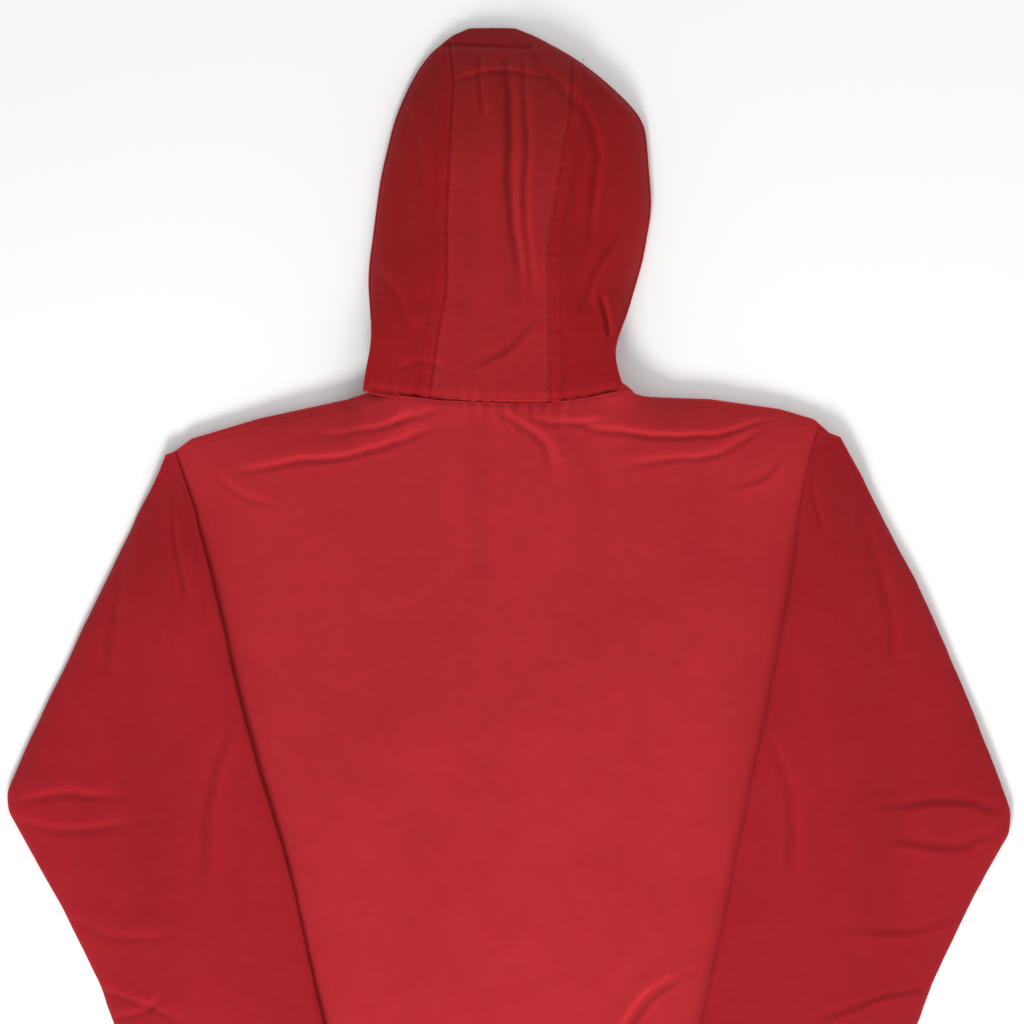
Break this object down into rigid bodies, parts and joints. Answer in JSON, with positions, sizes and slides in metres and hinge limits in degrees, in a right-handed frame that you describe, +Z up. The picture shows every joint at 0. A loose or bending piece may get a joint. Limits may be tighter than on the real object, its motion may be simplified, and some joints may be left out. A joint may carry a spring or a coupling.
{
  "type": "foul weather jacket",
  "caption": "Hooded waterproof sailing jacket laid flat on its front, with a folding hood, swinging sleeves, zip, storm flap and pockets.",
  "frame": {"origin": "middle of the footprint, on the surface that the jacket lies on", "axes": "+Y from the hem to the hood, +Z up out of the jacket's back, +X towards the wearer's right side as seen from above the back"},
  "size_m": [0.904, 1.133, 0.0615],
  "materials": {
    "shell": "matte",
    "shell_deep": "matte",
    "lining": "matte",
    "trim": "matte",
    "zip": "satin",
    "metal": "satin"
  },
  "bodies": {
    "body": {"back_panel": "shell", "hem_band": "shell", "collar_stand": "shell", "storm_flap_base": "shell", "lining_back": "lining", "hanger_loop": "trim", "zip_box": "zip", "front_panel_left": "shell", "pocket_flap_base_left": "shell", "lining_front_left": "lining", "pocket_bag_left": "lining", "zip_tape_left": "trim", "zip_teeth_left": "zip", "zip_stop_left": "metal", "hem_eyelet_left": "metal", "pocket_snap_left_stud": "metal", "front_panel_right": "shell", "pocket_flap_base_right": "shell", "lining_front_right": "lining", "pocket_bag_right": "lining", "zip_tape_right": "trim", "zip_teeth_right": "zip", "zip_stop_right": "metal", "hem_eyelet_right": "metal", "pocket_snap_right_stud": "metal", "storm_snap_1_stud": "metal", "storm_snap_2_stud": "metal", "storm_snap_3_stud": "metal", "storm_snap_4_stud": "metal"},
    "hood": {"hood_centre_panel": "shell_deep", "hood_side_left": "shell_deep", "hood_side_right": "shell_deep", "hood_rim_casing": "shell_deep", "hood_eyelet_left": "metal", "hood_eyelet_right": "metal"},
    "slider": {"zip_slider": "metal"},
    "puller": {"zip_puller": "metal"},
    "storm_flap": {"storm_flap": "shell", "storm_snap_1_cap": "metal", "storm_snap_2_cap": "metal", "storm_snap_3_cap": "metal", "storm_snap_4_cap": "metal"},
    "pocket_flap_left": {"pocket_flap_left": "shell", "pocket_snap_left_cap": "metal"},
    "upper_arm_left": {"sleeve_upper_left": "shell_deep"},
    "forearm_left": {"sleeve_lower_left": "shell_deep", "cuff_left": "shell_deep", "cuff_loop_left": "trim"},
    "cuff_tab_left": {"cuff_tab_left": "shell_deep", "cuff_hook_left": "trim"},
    "pocket_flap_right": {"pocket_flap_right": "shell", "pocket_snap_right_cap": "metal"},
    "upper_arm_right": {"sleeve_upper_right": "shell_deep"},
    "forearm_right": {"sleeve_lower_right": "shell_deep", "cuff_right": "shell_deep", "cuff_loop_right": "trim"},
    "cuff_tab_right": {"cuff_tab_right": "shell_deep", "cuff_hook_right": "trim"}
  },
  "joints": [
    {"name": "hood_fold", "type": "hinge", "parent": "body", "child": "hood", "pos_m": [0, 0.2355, 0.055], "axis": [1, 0, 0], "range_deg": [0, 165]},
    {"name": "zip_slide", "type": "slide", "parent": "body", "child": "slider", "axis": [0, -1, 0], "range_m": [0, 0.82]},
    {"name": "puller_swing", "type": "hinge", "parent": "slider", "child": "puller", "pos_m": [0, 0.2835, 0.0036], "axis": [1, 0, 0], "range_deg": [0, 150]},
    {"name": "storm_flap_open", "type": "hinge", "parent": "body", "child": "storm_flap", "pos_m": [-0.0343, -0.2, 0], "axis": [0, 1, 0], "range_deg": [0, 135]},
    {"name": "shoulder_swing_left", "type": "hinge", "parent": "body", "child": "upper_arm_left", "pos_m": [-0.304, 0.184, 0.01], "axis": [0, 0, -1], "range_deg": [0, 45]},
    {"name": "elbow_bend_left", "type": "hinge", "parent": "upper_arm_left", "child": "forearm_left", "pos_m": [-0.452, -0.127, 0.01], "axis": [0, 0, -1], "range_deg": [0, 45]},
    {"name": "cuff_tab_open_left", "type": "hinge", "parent": "forearm_left", "child": "cuff_tab_left", "pos_m": [-0.28356, -0.41536, 0.04148], "axis": [0.1812, -0.9828, 0.0345], "range_deg": [0, 110]},
    {"name": "pocket_flap_open_left", "type": "hinge", "parent": "body", "child": "pocket_flap_left", "pos_m": [-0.165, -0.2205, 0], "axis": [1, 0, 0], "range_deg": [0, 165]},
    {"name": "shoulder_swing_right", "type": "hinge", "parent": "body", "child": "upper_arm_right", "pos_m": [0.294, 0.196, 0.01], "axis": [0, 0, 1], "range_deg": [0, 45]},
    {"name": "elbow_bend_right", "type": "hinge", "parent": "upper_arm_right", "child": "forearm_right", "pos_m": [0.452, -0.145, 0.01], "axis": [0, 0, 1], "range_deg": [0, 45]},
    {"name": "cuff_tab_open_right", "type": "hinge", "parent": "forearm_right", "child": "cuff_tab_right", "pos_m": [0.29198, -0.41535, 0.03945], "axis": [0.1819, 0.9824, -0.0433], "range_deg": [0, 110]},
    {"name": "pocket_flap_open_right", "type": "hinge", "parent": "body", "child": "pocket_flap_right", "pos_m": [0.165, -0.2205, 0], "axis": [1, 0, 0], "range_deg": [0, 165]}
  ]
}
